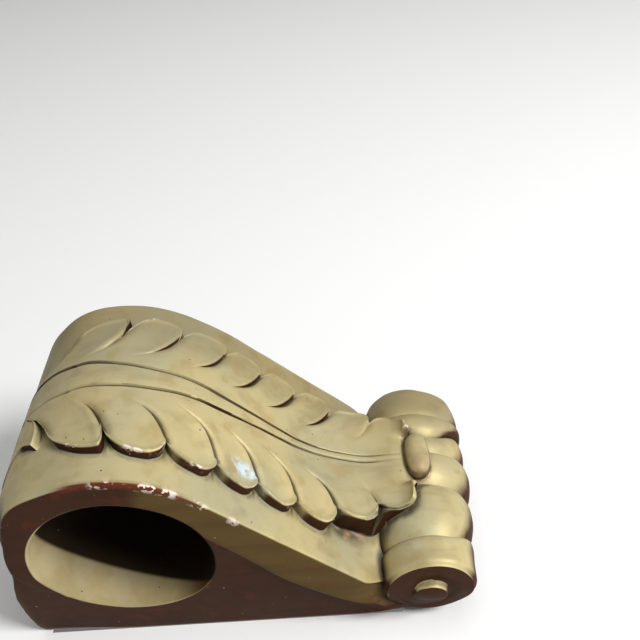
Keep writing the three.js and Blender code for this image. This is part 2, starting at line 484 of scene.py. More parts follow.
    def path(self, w: float, v: float) -> tuple[float, float]:
        """The sheet's line along the band: in under the curl at the middle, and up to a rim beside it.

        Args:
            w: Place along the sheet.
            v: Place across, 0 at the rib and 1 at the side.

        Returns:
            Place along the band and height over it.
        """
        u, lift = self.spine(w)
        middle = ease(0.36, 0.26, v) * ease(177.2, 186.0, w)
        if middle > 0:
            mid_u, mid_lift = self.tip(w)
            u, lift = u + (mid_u - u) * middle, lift + (mid_lift - lift) * middle
        u -= 0.9 * bump(0.32, 0.08, v) * bump(193.0, 5.0, w)
        return u, lift

    def columns(self) -> list[tuple[Zone, float]]:
        """List the section's columns from the outer arris to the rib.

        Returns:
            Each column's zone and its place in the zone.
        """
        half = [(Zone.ARRIS, i / 4) for i in range(5)]
        half += [(Zone.FACE, i / 10) for i in range(1, 10)]
        half += [(Zone.WALL, t) for t in (0.0, 0.12, 0.45, 0.8)]
        half += [(Zone.LEAF, t) for t in (0.0, 0.006, 0.016, 0.03, 0.05)]
        half += [(Zone.LEAF, 0.05 + 0.95 * i / 38) for i in range(1, 39)]
        half += [(Zone.GROOVE, t) for t in (1.0, 0.6, 0.25, 0.0, -0.25, -0.6, -1.0)]
        half += [(Zone.RIB, t) for t in (0.2, 0.45, 0.75)]
        return half

    def section(self, n: float, side: int) -> list[Vector]:
        """Half of the section at row n, from the outer arris to the rib.

        Args:
            n: The row.
            side: -1 for the near half and 1 for the far half.

        Returns:
            Placed points.
        """
        o = self.outline
        edge = self.edge(n)
        if side > 0:
            edge -= (edge - self.notch_v[1]) * ease(50, 46, n)
        half = self.rib_half(n)[0]
        narrow = self.groove_half(half)
        _, foot_h, foot = self.feet(n)
        foot = edge + 0.01 + (foot - edge - 0.01) * ease(self.round_from, 172, n)
        foot += 0.16 * ease(54, 44, n) if side > 0 else 0.0
        lip = self.relief(n, edge, edge, side)
        heavy = ease(164, 182, n)
        drop = 0.35 + 1.1 * heavy
        radius = self.arris / (o.width / 2)
        points = []
        for zone, t in self.columns():
            if zone is Zone.ARRIS:
                turn = t * math.pi / 2
                v = 1 - radius * (1 - math.sin(turn))
                u, height = self.on_band(n, v), -self.arris * (1 - math.sin(turn))
                v = 1 - radius * (1 - math.cos(turn))
            elif zone is Zone.FACE:
                v = 1 - radius + (foot - 1 + radius) * t
                u, height = self.on_band(n, v), foot_h * t * t
            elif zone is Zone.WALL:
                v = edge + (foot - edge) * (1 - t)
                low = self.on_band(n, foot)
                high, top = self.sheet(n, edge, lip - drop)
                u, height = low + (high - low) * t, foot_h + (top - foot_h) * t
            else:
                if zone is Zone.LEAF:
                    v = edge + (half + 1.4 * narrow - edge) * t
                elif zone is Zone.GROOVE:
                    v = half + narrow * t
                else:
                    v = (half - narrow) * (1 - t)
                rounding = drop * (1 - ease(0.0, 0.016 + 0.03 * heavy, t)) if zone is Zone.LEAF else 0.0
                u, height = self.sheet(n, v, self.relief(n, v, edge, side) - rounding)
            if zone in (Zone.ARRIS, Zone.FACE):
                height += self.fillet(u)
            elif side > 0 and zone in (Zone.WALL, Zone.LEAF):
                height *= 1 - ease(half + 0.02, edge, v) * ease(54, 47, n)
            x, z = o.face(u, height + o.lean(u, side * v))
            if zone not in (Zone.ARRIS, Zone.FACE):
                v *= 1 - (0.2 * ease(180, 190, n) if side > 0 else 0.0)
                v += side * self.sway(u)[0] * max(0.0, 1 - v / max(edge, 0.6))
            points.append(o.placed(x, o.across(side * v * self.narrowing(u)), z))
        return points

    def narrowing(self, u: float, down: float = 0.0) -> float:
        """How much of its width the band keeps.

        Args:
            u: Distance along the face: the band draws in under the head and before the roll.
            down: How far down the side, from 0 at the face to 1.

        Returns:
            The fraction kept.
        """
        o = self.outline
        drawn = o.draw_in * ease(-2, -28, u) + o.end_draw * ease(177, 189, u) * (1 - down)
        return 1 - drawn / (o.width / 2)

    def fillet(self, u: float) -> float:
        """How far the band's face curves up to meet the roll."""
        return 2.6 * ease(176, 192, u) ** 2

    def on_band(self, n: float, v: float) -> float:
        """Place along the band of row n at v across."""
        return (n if n < self.round_from else self.feet(n)[0]) - self.shear(n, v)

    def depth(self, u: float) -> float:
        """Depth of the band below its outer face."""
        return self.depths(u)[0] * (1 - 0.85 * self.outline.taper(u))

    def rows(self) -> list[float]:
        """List the rows, closer together at the notches.

        Returns:
            The rows from the head's underside to inside the roll.
        """
        first = self.notches[0]
        rows = [self.outline.start + (first - self.outline.start) * i / 14 for i in range(14)]
        steps = [0.5 - 0.5 * math.cos(math.pi * (i / 36)) for i in range(36)]
        for a, b in zip(self.notches, self.notches[1:]):
            rows += [a + (b - a) * s for s in steps]
        last = self.notches[-1]
        rows += [last + (self.under_curl - last) * i / 22 for i in range(22)]
        rows += [self.under_curl + (self.end - self.under_curl) * i / 12 for i in range(13)]
        return rows

    def build(self) -> bpy.types.Object:
        """Loft the band and the leaf over a grid whose rows follow the creases.

        Returns:
            The band.
        """
        o = self.outline
        rows = self.rows()
        side = self.side_steps
        count = 2 * len(self.columns()) + 1 + 2 * side
        bm = bmesh.new()
        bmesh.ops.create_grid(bm, x_segments=count, y_segments=len(rows) - 1, size=0.5)
        order = sorted(bm.verts, key=lambda p: (round(p.co.y * 1e5), p.co.x))
        for i, n in enumerate(rows):
            near = self.section(n, -1)
            far = self.section(n, 1)
            u, height = self.sheet(n, 0.0, self.relief(n, 0.0, self.edge(n)))
            x, z = o.face(u, height + o.lean(u, 0.0))
            ring = near + [o.placed(x, o.across(self.sway(u)[0]), z)] + far[::-1]
            u = min(o.end, max(o.start, self.on_band(n, 0.99)))
            depth = self.depth(u)
            levels = [step / side for step in range(1, side + 1)]
            for hand, steps in ((1, levels), (-1, levels[::-1])):
                for t in steps:
                    x, z = o.face(u, -self.arris - (depth - self.arris) * t + o.lean(u, hand) * (1 - t))
                    inward = 0.018 * ease(0.88, 1.0, t) + 0.09 * ease(12.0, 3.0, z) * ease(185, 200, u)
                    ring.append(o.placed(x, o.across(hand * (self.narrowing(u, t) - inward)), z))
            ring.append(ring[0])
            for vert, point in zip(order[i * (count + 1):(i + 1) * (count + 1)], ring):
                vert.co = point
        return finished(bm, "band")


@dataclass
class Web:
    """The block between the band and the wall, its side faces falling back towards the wall."""

    outline: Outline
    recess: float = 5.0
    flush_z: float = 62.0
    set_back: float = 0.5
    foot: float = 154.6

    def inset(self, x: float, z: float) -> float:
        """How far the side face stands back.

        Args:
            x: Place down from the head.
            z: Distance out from the wall.

        Returns:
            The distance in from the side.
        """
        low = max(0.0, 1 - z / self.flush_z) ** 2
        ends = 1.3 * ease(45.0, 8.0, x) + 1.5 * ease(132.0, 146.0, x)
        return self.set_back + (self.recess + ends) * low

    def border(self) -> list[tuple[float, float]]:
        """Draw the side outline, inside the band's outer face.

        Returns:
            x and z of its points.
        """
        o = self.outline
        points = [(5.0, 0.0), (self.foot - 8.6, 0.0), (self.foot - 7.6, 2.0), (self.foot - 4, 21.6)]
        u = o.end - 8
        while u > 0:
            points.append(o.face(u, -6.0))
            u -= 3.0
        under_head = [(6.2, 50.0), (5.0, 44.0), (3.3, 38.0), (1.7, 30.0), (1.2, 18.0)]
        return points + under_head + [(1.3, 5.0), (2.0, 2.2), (3.2, 0.6)]

    def build(self) -> bpy.types.Object:
        """Extrude the outline across the width, and fall the sides back.

        Returns:
            The web.
        """
        o = self.outline
        bm = bmesh.new()
        face = bm.faces.new([bm.verts.new((x, 0.0, z)) for x, z in self.border()])
        grown = bmesh.ops.extrude_face_region(bm, geom=[face])
        moved = [g for g in grown["geom"] if isinstance(g, bmesh.types.BMVert)]
        bmesh.ops.translate(bm, verts=moved, vec=(0.0, o.width, 0.0))
        for axis, step, count in (((0, 0, 1), 3.0, 31), ((1, 0, 0), 8.0, 19)):
            for k in range(1, count):
                cut_across(bm, step * k, axis)
        for vert in bm.verts:
            x, y, z = vert.co
            v = 1 - self.inset(x, z) / (o.width / 2)
            vert.co = o.placed(x, o.across(v if y > o.width / 2 else -v), z)
        return finished(bm, "web")


@dataclass
class Roll:
    """The roll at the foot: swelling rings between two drums, each with a snail and an eye on its end."""

    outline: Outline
    x: float = 154.6
    z: float = 21.6
    rim: float = 16.6
    edge: float = 1.3
    under: float = 3.0
    eye_r: float = 6.0
    near_cap: float = -1.0
    far_cap: float = 99.0
    turns: int = 120

    def __post_init__(self) -> None:
        """Set out where the creases run and how the rings swell.

        Each crease has its place across at the top and at the foot of the roll, and its radius there.
        """
        self.creases = (
            (0.0, 0.0, 18.0, 17.2), (12.3, 18.0, 17.7, 17.0), (35.3, 36.6, 18.6, 18.8),
            (50.5, 54.0, 20.2, 20.6), (60.0, 69.0, 18.8, 19.4), (71.5, 74.5, 20.2, 21.3),
            (92.0, 92.0, 14.6, 18.4),
        )
        self.swells = (
            Track(((0, 0.0), (0.5, 0.55), (0.8, 1.15), (0.93, 1.0), (1, 0.0))),
            Track(((0, 0.0), (0.05, 0.5), (0.2, 1.6), (0.5, 2.4), (0.8, 1.7), (0.95, 0.5), (1, 0.0))),
            Track(((0, 0.0), (0.07, 0.7), (0.25, 2.0), (0.55, 2.6), (0.85, 1.5), (0.96, 0.5), (1, 0.0))),
            Track(((0, 0.0), (0.07, 0.5), (0.3, 1.6), (0.5, 2.0), (0.8, 1.5), (0.94, 0.6), (1, 0.0))),
            Track(((0, 0.0), (0.1, 0.8), (0.35, 2.0), (0.6, 2.1), (0.85, 1.2), (0.96, 0.4), (1, 0.0))),
            Track(((0, 0.0), (0.08, 0.9), (0.3, 1.9), (0.55, 2.2), (0.8, 2.1), (0.93, 1.3), (1, 0.0))),
        )
        self.spiral = Track((
            (165, 15.2), (205, 14.9), (250, 11.2), (285, 8.6), (325, 6.8), (360, 6.2), (450, 6.4),
            (525, 6.8)))

    def girth(self, ring: float, angle: float) -> tuple[float, float]:
        """Radius and place across at a ring coordinate.

        Args:
            ring: The ring's number plus how far across it the point is.
            angle: Angle round the roll, 0 down the wall and a right angle out from it.

        Returns:
            Radius and place across.
        """
        k = min(len(self.swells) - 1, int(ring))
        t = ring - k
        low = ease(math.radians(70), math.radians(5), angle)
        if angle < -math.pi / 2:
            low = ease(math.radians(-170), math.radians(-110), angle)
        (a_top, a_low, ra_top, ra_low), (b_top, b_low, rb_top, rb_low) = self.creases[k], self.creases[k + 1]
        y = (a_top + (a_low - a_top) * low) * (1 - t) + (b_top + (b_low - b_top) * low) * t
        valley = (ra_top + (ra_low - ra_top) * low) * (1 - t) + (rb_top + (rb_low - rb_top) * low) * t
        return valley + self.swells[k](t)[0], y

    def fall(self, angle: float, radius: float) -> float:
        """How far an end falls back at the underside, as the web's side does."""
        return self.under * ease(4.0, -16.0, radius * math.sin(angle))

    def snail(self, radius: float, angle: float) -> float:
        """How far an end face stands out.

        Args:
            radius: Distance from the roll's axis.
            angle: Angle round it.

        Returns:
            The distance out from the end.
        """
        degrees = math.degrees(angle) % 360
        degrees += 360 if degrees < 165 else 0
        edge = self.spiral(degrees)[0]
        inside = ease(edge + 0.45, edge - 0.45, radius)
        ramp = ease(165, 235, degrees) if radius > self.eye_r + 0.9 else 1.0
        level = 1.5 + 0.45 * radius / self.eye_r * math.cos(angle - 0.5) if radius < 12 else 1.0
        moat = -0.9 * bump(edge + 1.6, 4.0, radius) * ease(230, 330, degrees) * ease(530, 470, degrees)
        dome = 0.5 * max(0.0, 1 - (radius / self.eye_r) ** 2)
        return level * inside * ramp + moat * (1 - inside) + dome

    def path(self) -> list[tuple[float, float]]:
        """Run from one end's centre to the other's.

        Returns:
            Each point's radius on an end, or 0, and its ring coordinate.
        """
        cap = [0.0, 1.5, 3.0, 4.2, 5.0] + [5.5 + 0.42 * i for i in range(27)]
        cap = [r for r in cap if r < self.rim - 0.2]
        steps = [0.5 - 0.5 * math.cos(math.pi * i / 16) for i in range(16)]
        rings = [(0.0, k + step) for k in range(len(self.swells)) for step in steps]
        rings.append((0.0, float(len(self.swells))))
        return [(r, self.near_cap) for r in cap] + rings + [(r, self.far_cap) for r in reversed(cap)]

    def build(self) -> bpy.types.Object:
        """Spin the path round the roll's axis, swell the rings and raise the ends.

        Returns:
            The roll.
        """
        o = self.outline
        rings = self.path()
        bm = spun([(1.0 + r, i) for i, (r, _) in enumerate(rings)], self.turns)
        for vert in bm.verts:
            angle = math.atan2(vert.co.z, vert.co.x)
            cap, ring = rings[round(vert.co.y)]
            if 0 <= ring <= len(self.swells):
                radius, y = self.girth(ring, angle)
                round_off = ease(2.2, 0.0, min(y, o.width - y))
                radius -= self.edge * round_off
            else:
                last = self.girth(0.0 if ring < 0 else float(len(self.swells)), angle)[0]
                radius = cap * (last - self.edge) / self.rim
                y = -self.snail(cap, angle) if ring < 0 else o.width + self.snail(cap, angle)
            lift = self.fall(angle, radius)
            y += lift * ease(16, 0, y) - lift * ease(o.width - 16, o.width, y)
            z = max(0.0, self.z + radius * math.sin(angle))
            vert.co = o.placed(self.x + radius * math.cos(angle), y, z)
        return finished(bm, "roll")


@dataclass
class Curl:
    """The rolled tip of the leaf, a bead across the width."""

    outline: Outline
    x: float = 154.5
    z: float = 44.4
    radius: float = 5.0
    half: float = 10.0

    def build(self) -> bpy.types.Object:
        """Draw a ball out across the width.

        Returns:
            The bead.
        """
        o = self.outline
        bm = bmesh.new()
        bmesh.ops.create_uvsphere(bm, u_segments=40, v_segments=28, radius=1.0)
        for vert in bm.verts:
            a, b, c = vert.co
            girth = self.radius * max(0.0, 1 - c * c) ** -0.2 if abs(c) < 0.999 else self.radius
            y = o.width / 2 + math.copysign(abs(c) ** 0.8, c) * self.half
            vert.co = o.placed(self.x + a * girth, y, self.z + b * girth)
        return finished(bm, "curl")


@dataclass
class Bore:
    """The pole's bore: it narrows to the far side, with a small step at the mould's seam."""

    outline: Outline
    near_r: float = 32.0
    far_r: float = 27.5
    seam: float = 41.4
    step: float = 0.8
    mouth: float = 1.3
    beyond: float = 6.0
    turns: int = 128

    def build(self) -> bpy.types.Object:
        """Spin the bore's profile, with rounded mouths.

        Returns:
            The plug to cut away.
        """
        o = self.outline
        near_r, far_r, mouth = self.near_r, self.far_r, self.mouth
        far = o.across(1.0)
        slope = (near_r - far_r - self.step) / o.width
        quarter = [math.pi / 2 * i / 6 for i in range(7)]
        rounding = [(mouth * (1 - math.sin(a)), mouth * (1 - math.cos(a))) for a in quarter]
        points = [(0.0, -self.beyond), (near_r + 3 * mouth, -self.beyond)]
        points += [(near_r + out, deep) for out, deep in rounding]
        points += [(near_r - slope * y, y) for y in (8.0, 16.0, 24.0, 32.0, 38.0, self.seam)]
        points += [(near_r - self.step - slope * y, y) for y in (self.seam + 0.7, 52.0, 62.0, 72.0, 82.0)]
        points += [(far_r + out, far - deep) for out, deep in rounding[::-1]]
        points += [(far_r + 3 * mouth, far + self.beyond), (0.0, far + self.beyond)]
        bm = spun(points, self.turns)
        for vert in bm.verts:
            x, y, z = vert.co
            vert.co = o.placed(o.head_x + x, y, o.head_z + z)
        return finished(bm, "bore")


class Graph:
    """A material's nodes, put down one at a time."""

    def __init__(self, tree: bpy.types.NodeTree) -> None:
        """Keep the tree."""
        self.tree = tree

    def put(self, kind: str, fed: dict[str | int, object], **settings: object) -> bpy.types.Node:
        """Add a node.

        Args:
            kind: The node's type.
            fed: What each input is linked to or set to.
            settings: The node's own settings.

        Returns:
            The node.
        """
        node = self.tree.nodes.new(kind)
        for name, value in settings.items():
            setattr(node, name, value)
        for key, value in fed.items():
            self.feed(node.inputs[key], value)
        return node

    def feed(self, socket: Socket, value: object) -> None:
        """Link a socket to another node's output, or set its value.

        Args:
            socket: The input.
            value: The output or the value.
        """
        if isinstance(value, bpy.types.NodeSocket):
            self.tree.links.new(value, socket)
        else:
            socket.default_value = value

    def mask(self, name: str) -> Socket:
        """A point attribute of the piece."""
        return self.put("ShaderNodeAttribute", {}, attribute_name=name).outputs["Fac"]

    def own(self, kind: str = "Object") -> Socket:
        """The piece's own coordinates, or its normal."""
        return self.put("ShaderNodeTexCoord", {}).outputs[kind]

    def part(self, vector: Socket, axis: str) -> Socket:
        """A vector's part along an axis."""
        return self.put("ShaderNodeSeparateXYZ", {0: vector}).outputs[axis]

    def grain(self, scale: float, detail: float = 3.0, stretch: Triple = (1, 1, 1)) -> Socket:
        """Noise on the piece's own coordinates, in cycles a metre."""
        turned = self.put("ShaderNodeMapping", {"Vector": self.own(), "Scale": stretch})
        fed = {"Vector": turned.outputs["Vector"], "Scale": scale, "Detail": detail}
        return self.put("ShaderNodeTexNoise", fed).outputs["Fac"]

    def spots(self, scale: float, size: float) -> Socket:
        """Scattered round spots, in cells a metre and a share of a cell."""
        cells = self.put("ShaderNodeTexVoronoi", {"Vector": self.own(), "Scale": scale})
        return self.ramp(cells.outputs["Distance"], size, size * 0.6)

    def outward(self) -> Socket:
        """How squarely the surface faces out from the wall, from 0 to 1."""
        return self.times(self.part(self.own("Normal"), "Y"), -1.0)

    def inside(self, centre: tuple[float, float], radius: float, taper: float) -> Socket:
        """Whether a point is within a cone about an axis along X, through a Y and a Z.

        Args:
            centre: Y and Z of the axis.
            radius: The cone's radius at X = 0.
            taper: How much the radius loses along X.

        Returns:
            1 inside and 0 outside.
        """
        flat = self.put("ShaderNodeVectorMath", {0: self.own(), 1: (0, 1, 1)}, operation="MULTIPLY")
        apart = self.put("ShaderNodeVectorMath", {0: flat.outputs[0], 1: (0, *centre)}, operation="DISTANCE")
        level = self.put(
            "ShaderNodeMath", {0: self.part(self.own(), "X"), 1: taper, 2: apart.outputs["Value"]},
            operation="MULTIPLY_ADD")
        return self.ramp(level.outputs[0], radius + 0.0002, radius - 0.0002)

    def through(self, start: float, end: float, way: Triple = (1, 0, 0)) -> Socket:
        """Ease from 0 to 1 between two places along a way, X if none is given."""
        along = self.put("ShaderNodeVectorMath", {0: self.own(), 1: way}, operation="DOT_PRODUCT")
        return self.ramp(along.outputs["Value"], start, end)

    def ramp(self, value: object, start: float, end: float) -> Socket:
        """Ease from 0 at start to 1 at end."""
        fed = {"Value": value, "From Min": start, "From Max": end}
        return self.put("ShaderNodeMapRange", fed, interpolation_type="SMOOTHSTEP").outputs["Result"]

    def reckon(self, kind: str, a: object, b: object) -> Socket:
        """A math node of two values, kept from 0 to 1."""
        return self.put("ShaderNodeMath", {0: a, 1: b}, operation=kind, use_clamp=True).outputs[0]

    def times(self, a: object, b: object) -> Socket:
        """The product of two values."""
        return self.reckon("MULTIPLY", a, b)

    def plus(self, a: object, b: object) -> Socket:
        """The sum of two values."""
        return self.reckon("ADD", a, b)

    def less(self, a: object, b: object) -> Socket:
        """The first value less the second."""
        return self.reckon("SUBTRACT", a, b)

    def coat(self, under: object, over: object, mask: object, strength: float = 1.0) -> Socket:
        """Lay one colour over another.

        Args:
            under: The colour beneath.
            over: The colour laid on it.
            mask: Where it is laid, from 0 to 1.
            strength: How much of the mask counts.

        Returns:
            The mixed colour.
        """
        factor = mask if strength == 1.0 else self.times(mask, strength)
        a, b = ((*colour, 1.0) if isinstance(colour, tuple) else colour for colour in (under, over))
        return self.put("ShaderNodeMix", {"Factor": factor, 6: a, 7: b}, data_type="RGBA").outputs[2]


@dataclass(frozen=True)
class Mark:
    """A worn or stained place on the band's face."""

    along: float
    across: float
    reach: float
    strength: float = 1.0

    def at(self, u: float, y: float, width: float) -> float:
        """How strongly a point of the face is marked."""
        middle = width / 2 * (1 + self.across)
        return self.strength * ease(self.reach, self.reach * 0.3, math.hypot(u - self.along, y - middle))


@dataclass(frozen=True)
class GoldPaint:
    """Worn gold paint over a dark red-brown ground on plaster, with painted shade on the sides and in
    recesses, and painted light and shadow in the bore.
    """

    gold: Triple = (0.53, 0.445, 0.230)
    warm: Triple = (0.40, 0.30, 0.12)
    grey: Triple = (0.45, 0.405, 0.245)
    strip: Triple = (0.115, 0.070, 0.022)
    ground: Triple = (0.052, 0.021, 0.010)
    # Dark brown-black: real pits and brushing, and also the painted shade in recesses and the bore.
    soot_and_shade: Triple = (0.018, 0.010, 0.006)
    dust: Triple = (0.30, 0.315, 0.28)
    rust: Triple = (0.13, 0.034, 0.017)
    copper: Triple = (0.36, 0.265, 0.150)
    chip: Triple = (0.78, 0.66, 0.56)
    bloom: Triple = (0.58, 0.68, 0.72)
    clay: Triple = (0.52, 0.32, 0.18)
    chips: tuple[Mark, ...] = (
        Mark(71, -0.99, 5), Mark(87, -1.0, 7), Mark(93, -1.0, 4), Mark(104, -1.0, 5, 0.8),
        Mark(118, -1.0, 3, 0.7), Mark(60, -0.67, 3), Mark(80, -0.73, 6), Mark(87, -0.66, 4),
        Mark(100, -0.72, 4), Mark(99, -0.42, 3, 0.8), Mark(88, 0.60, 4), Mark(82, 0.41, 3, 0.8),
        Mark(77, 0.66, 4), Mark(140, -0.67, 3, 0.7), Mark(181, 0.3, 3),
    )
    smears: tuple[Mark, ...] = (Mark(115.5, -0.54, 3.6), Mark(118.6, -0.57, 4.2), Mark(122.0, -0.59, 3.0))
    stains: tuple[Mark, ...] = (Mark(170.5, -0.66, 4.0), Mark(176.5, -0.62, 4.5))
    grime: Mark = Mark(189.0, -0.72, 9.0, 0.8)
    bore_centre: tuple[float, float] = (-0.0512, 0.0287)
    bore_edge: float = 0.0305
    bore_taper: float = 0.048
    bare: Triple = (0.27, 0.225, 0.165)
    # The bore's gold, brightened as painted light on its near floor; the plane beyond which the key lamp's
    # cast shadow is painted.
    bore_gold_and_light: Triple = (0.47, 0.39, 0.22)
    shade_way: Triple = (1.0, -0.405, -0.284)
    shade_at: float = -0.0302
    broad_grain: float = 28.0
    middle_grain: float = 110.0
    fine_grain: float = 700.0
    brush_grain: float = 160.0
    brush_stretch: Triple = (1.0, 1.0, 0.12)
    flake_grain: float = 430.0
    smear_grain: float = 330.0
    stain_grain: float = 200.0
    specular: float = 0.04
    metal: float = 0.27
    relief: float = 0.0006

    def outside(self, g: Graph, middle: Socket, facing: Socket) -> Socket:
        """Lay gold on the outer face and the dark ground on the sides, the sides' darkness being partly
        painted shade.

        Args:
            g: The material's nodes.
            middle: The middle grain.
            facing: How squarely the surface faces out.

        Returns:
            The colour, dark where it is sheltered or creased.
        """
        brushed = g.grain(self.brush_grain, 3.0, self.brush_stretch)
        top = g.coat(self.gold, self.grey, g.ramp(g.grain(self.broad_grain, 4.0), 0.38, 0.62))
        top = g.coat(top, self.warm, g.ramp(middle, 0.45, 0.75), 0.6)
        top = g.coat(top, self.strip, g.ramp(brushed, 0.52, 0.72), 0.16)
        # Painted shade: the outer face darkens towards the far side, away from the light.
        top = g.coat(top, self.strip, g.through(0.004, 0.036), 0.38)
        side = g.coat(self.ground, self.strip, g.ramp(g.mask("strip"), 0.1, 0.5))
        side = g.coat(side, self.soot_and_shade, g.ramp(brushed, 0.40, 0.70), 0.2)
        side = g.coat(side, self.rust, g.ramp(middle, 0.55, 0.75), 0.4)
        # Surfaces turned from the outer face take the dark side colour: partly two-tone paint, partly painted
        # shade.
        edge = g.plus(facing, g.times(g.less(middle, 0.5), 0.35))
        colour = g.coat(side, top, g.ramp(edge, 0.26, 0.62))
        # Painted shade: darkened where rays find the surface enclosed, in recesses and under overhangs.
        colour = g.coat(colour, self.soot_and_shade, g.ramp(g.mask("occlusion_shade"), 0.10, 0.55), 0.75)
        return g.coat(colour, self.ground, g.ramp(g.mask("crease"), 0.05, 0.32), 0.85)

    def bore_light_shade_and_back(self, g: Graph, middle: Socket, colour: Socket) -> Socket:
        """Paint the bore's lining with painted light near its mouth and a painted shadow beyond, and bare the
        back.

        Args:
            g: The material's nodes.
            middle: The middle grain.
            colour: The colour outside.

        Returns:
            The colour with both.
        """
        bore = g.inside(self.bore_centre, self.bore_edge, self.bore_taper)
        lit_lining = g.coat(self.bore_gold_and_light, self.warm, g.ramp(middle, 0.40, 0.62), 0.5)
        # Painted shade: the lining darkens towards the roll's side of the bore.
        lit_lining = g.coat(lit_lining, self.strip, g.through(0.018, 0.002, (0, 0, 1)))
        # Painted shadow: past a slanted plane, the key lamp's cast shadow inside the bore is painted dark.
        shade = g.through(self.shade_at - 0.0008, self.shade_at + 0.0012, self.shade_way)
        colour = g.coat(g.coat(colour, lit_lining, bore), self.soot_and_shade, g.times(bore, shade), 0.97)
        back = g.coat(self.bare, self.ground, g.ramp(middle, 0.40, 0.70), 0.35)
        return g.coat(colour, back, g.through(-0.0009, -0.0002, (0, 1, 0)))

    def marked(self, g: Graph, middle: Socket, flaking: Socket, colour: Socket) -> Socket:
        """Wear the lips to gold and lay the marks at their places.

        Args:
            g: The material's nodes.
            middle: The middle grain.
            flaking: The grain of the chips.
            colour: The colour beneath.

        Returns:
            The worn and marked colour.
        """
        worn = g.times(g.ramp(g.mask("lip"), 0.18, 0.60), g.ramp(middle, 0.36, 0.56))
        colour = g.coat(colour, self.gold, worn, 0.55)
        for name, over, pattern, start, end in (
                ("arris", self.rust, middle, 0.24, 0.40),
                ("bead", self.copper, middle, 0.25, 0.75),
                ("chips", self.chip, flaking, 0.51, 0.55),
                ("smear", self.bloom, g.grain(self.smear_grain), 0.44, 0.60),
                ("stain", self.clay, g.grain(self.stain_grain), 0.40, 0.60)):
            colour = g.coat(colour, over, g.times(g.mask(name), g.ramp(pattern, start, end)))
        return colour

    def material(self) -> bpy.types.Material:
        """Build the finish, from the ground up to the specks.

        Returns:
            The material.
        """
        paint = bpy.data.materials.new("worn gold paint")
        paint.use_nodes = True
        g = Graph(paint.node_tree)
        middle = g.grain(self.middle_grain, 5.0)
        flaking = g.grain(self.flake_grain, 2.0)
        facing = g.outward()
        dusty = g.plus(g.mask("dust"), g.times(middle, 0.35))
        settled = g.times(g.ramp(dusty, 0.38, 0.75), 0.75)
        pits = g.times(g.spots(230.0, 0.08), g.ramp(g.grain(45.0, 2.0), 0.47, 0.57))
        specks = g.times(g.spots(190.0, 0.09), g.ramp(g.grain(60.0, 2.0), 0.46, 0.56))

        colour = self.bore_light_shade_and_back(g, middle, self.outside(g, middle, facing))
        colour = g.coat(colour, self.dust, settled)
        colour = self.marked(g, middle, flaking, colour)
        colour = g.coat(colour, self.soot_and_shade, pits, 0.85)
        colour = g.coat(colour, self.warm, g.times(specks, g.ramp(facing, 0.5, 0.2)), 0.6)

        flaked = g.times(g.mask("chips"), g.ramp(flaking, 0.51, 0.55))
        height = g.plus(g.times(middle, 0.6), g.times(g.grain(self.fine_grain), 0.18))
        height = g.less(g.less(height, g.times(pits, 0.6)), g.times(flaked, 0.5))
        relief = g.put("ShaderNodeBump", {"Strength": 0.5, "Distance": self.relief, "Height": height})
        rough = g.plus(g.plus(0.43, g.times(middle, 0.22)), g.times(settled, 0.4))
        metallic = g.times(g.ramp(facing, 0.2, 0.6), self.metal)
        shader = paint.node_tree.nodes["Principled BSDF"]
        for name, value in (
                ("Base Color", colour), ("Specular IOR Level", self.specular), ("Roughness", rough),
                ("Metallic", metallic), ("Normal", relief.outputs["Normal"])):
            g.feed(shader.inputs[name], value)
        return paint


